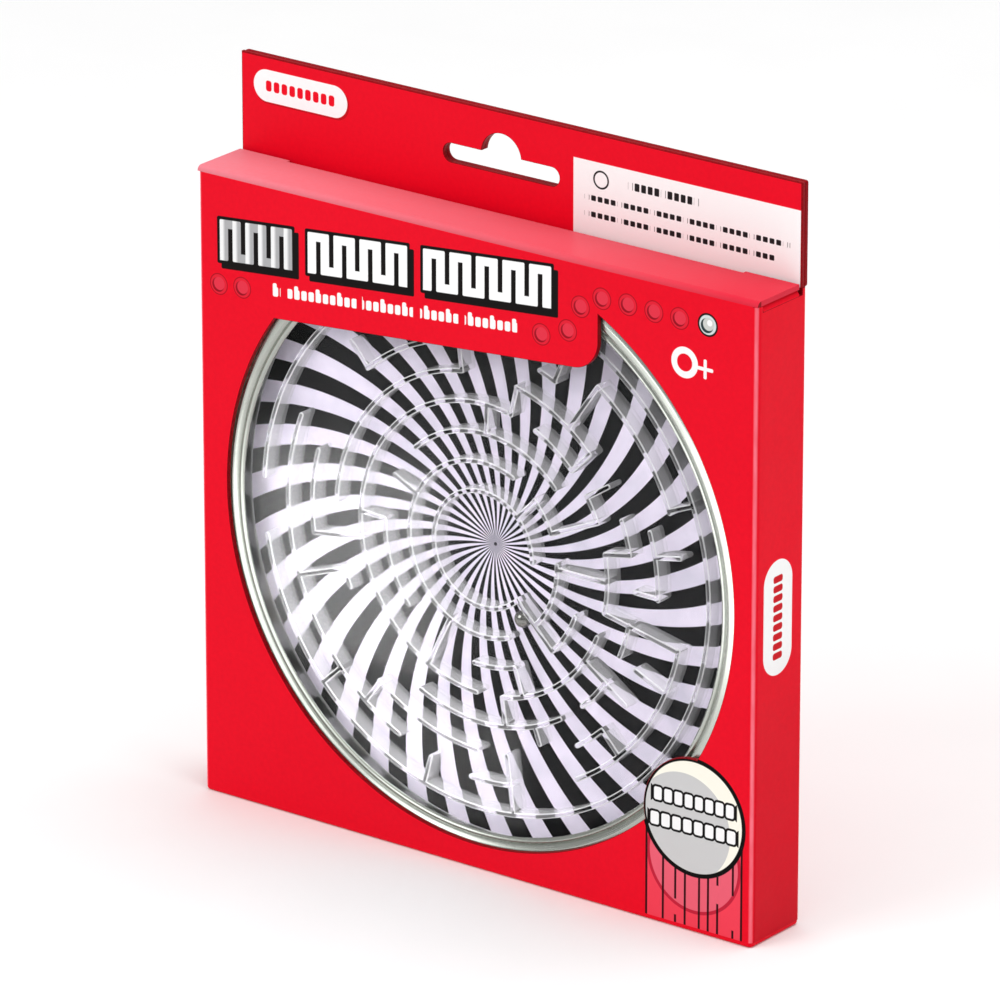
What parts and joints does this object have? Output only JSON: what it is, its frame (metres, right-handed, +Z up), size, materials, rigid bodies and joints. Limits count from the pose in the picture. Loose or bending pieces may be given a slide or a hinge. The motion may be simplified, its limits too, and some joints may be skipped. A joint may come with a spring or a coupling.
{
  "type": "boxed round tin ball maze game",
  "caption": "Round tin ball maze with a clear cover and broken ring walls, in a shallow red carton with a round window and a hanging header.",
  "frame": {"origin": "middle of the carton's footprint, on the surface it stands on", "axes": "+X to the right as the window is looked at, +Z up, the window faces -Y"},
  "size_m": [0.152, 0.0182, 0.1705],
  "materials": {
    "red_board": "paperboard printed red, satin varnish",
    "plain_board": "plain unprinted paperboard, matt",
    "rim_tin": "bright tinplate, rolled",
    "dish_tin": "tinplate, fine rolling grain",
    "clear_plastic": "clear moulded polystyrene, glossy",
    "spiral_print": "card printed with a black and lilac-white spiral, coated",
    "ball_steel": "polished steel"
  },
  "bodies": {
    "carton": {"front_panel": "red_board", "back_panel": "red_board", "left_panel": "red_board", "right_panel": "red_board", "glue_seam": "plain_board", "header_front_leaf": "red_board", "bottom_outer_flap": "red_board", "bottom_inner_flap": "plain_board", "bottom_dust_flap_left": "plain_board", "bottom_dust_flap_right": "plain_board", "spacer_platform": "plain_board", "spacer_leg_left": "plain_board", "spacer_leg_right": "plain_board"},
    "closure": {"top_flap": "red_board"},
    "tuck": {"top_tuck": "red_board"},
    "dust_left": {"top_dust_flap_left": "red_board"},
    "dust_right": {"top_dust_flap_right": "red_board"},
    "game": {"rim_ring": "rim_tin", "tin_dish": "dish_tin", "clear_cover": "clear_plastic", "maze_tray": "clear_plastic", "printed_disc": "spiral_print"},
    "ball": {"steel_ball": "ball_steel"}
  },
  "joints": [
    {"name": "top_flap_open", "type": "hinge", "parent": "carton", "child": "closure", "pos_m": [0, -0.00905, 0.148], "axis": [1, 0, 0], "range_deg": [0, 110]},
    {"name": "tuck_fold", "type": "hinge", "parent": "closure", "child": "tuck", "pos_m": [0, 0.00475, 0.1468], "axis": [1, 0, 0], "range_deg": [-72, 0]},
    {"name": "dust_flap_left_open", "type": "hinge", "parent": "carton", "child": "dust_left", "pos_m": [-0.076, 0, 0.14655], "axis": [0, -1, 0], "range_deg": [0, 88]},
    {"name": "dust_flap_right_open", "type": "hinge", "parent": "carton", "child": "dust_right", "pos_m": [0.076, 0, 0.14655], "axis": [0, 1, 0], "range_deg": [0, 88]},
    {"name": "game_turn", "type": "hinge", "parent": "carton", "child": "game", "pos_m": [-0.0002, 0, 0.0737], "axis": [0, -1, 0], "continuous": true},
    {"name": "ball_roll", "type": "hinge", "parent": "game", "child": "ball", "pos_m": [-0.0002, 0, 0.0737], "axis": [0, -1, 0], "range_deg": [-248.5, 0.5]}
  ],
  "couplings": [
    {"joint": "tuck_fold", "follows": "top_flap_open", "ratio": -0.65},
    {"joint": "dust_flap_left_open", "follows": "top_flap_open", "ratio": 0.8},
    {"joint": "dust_flap_right_open", "follows": "top_flap_open", "ratio": 0.8}
  ]
}
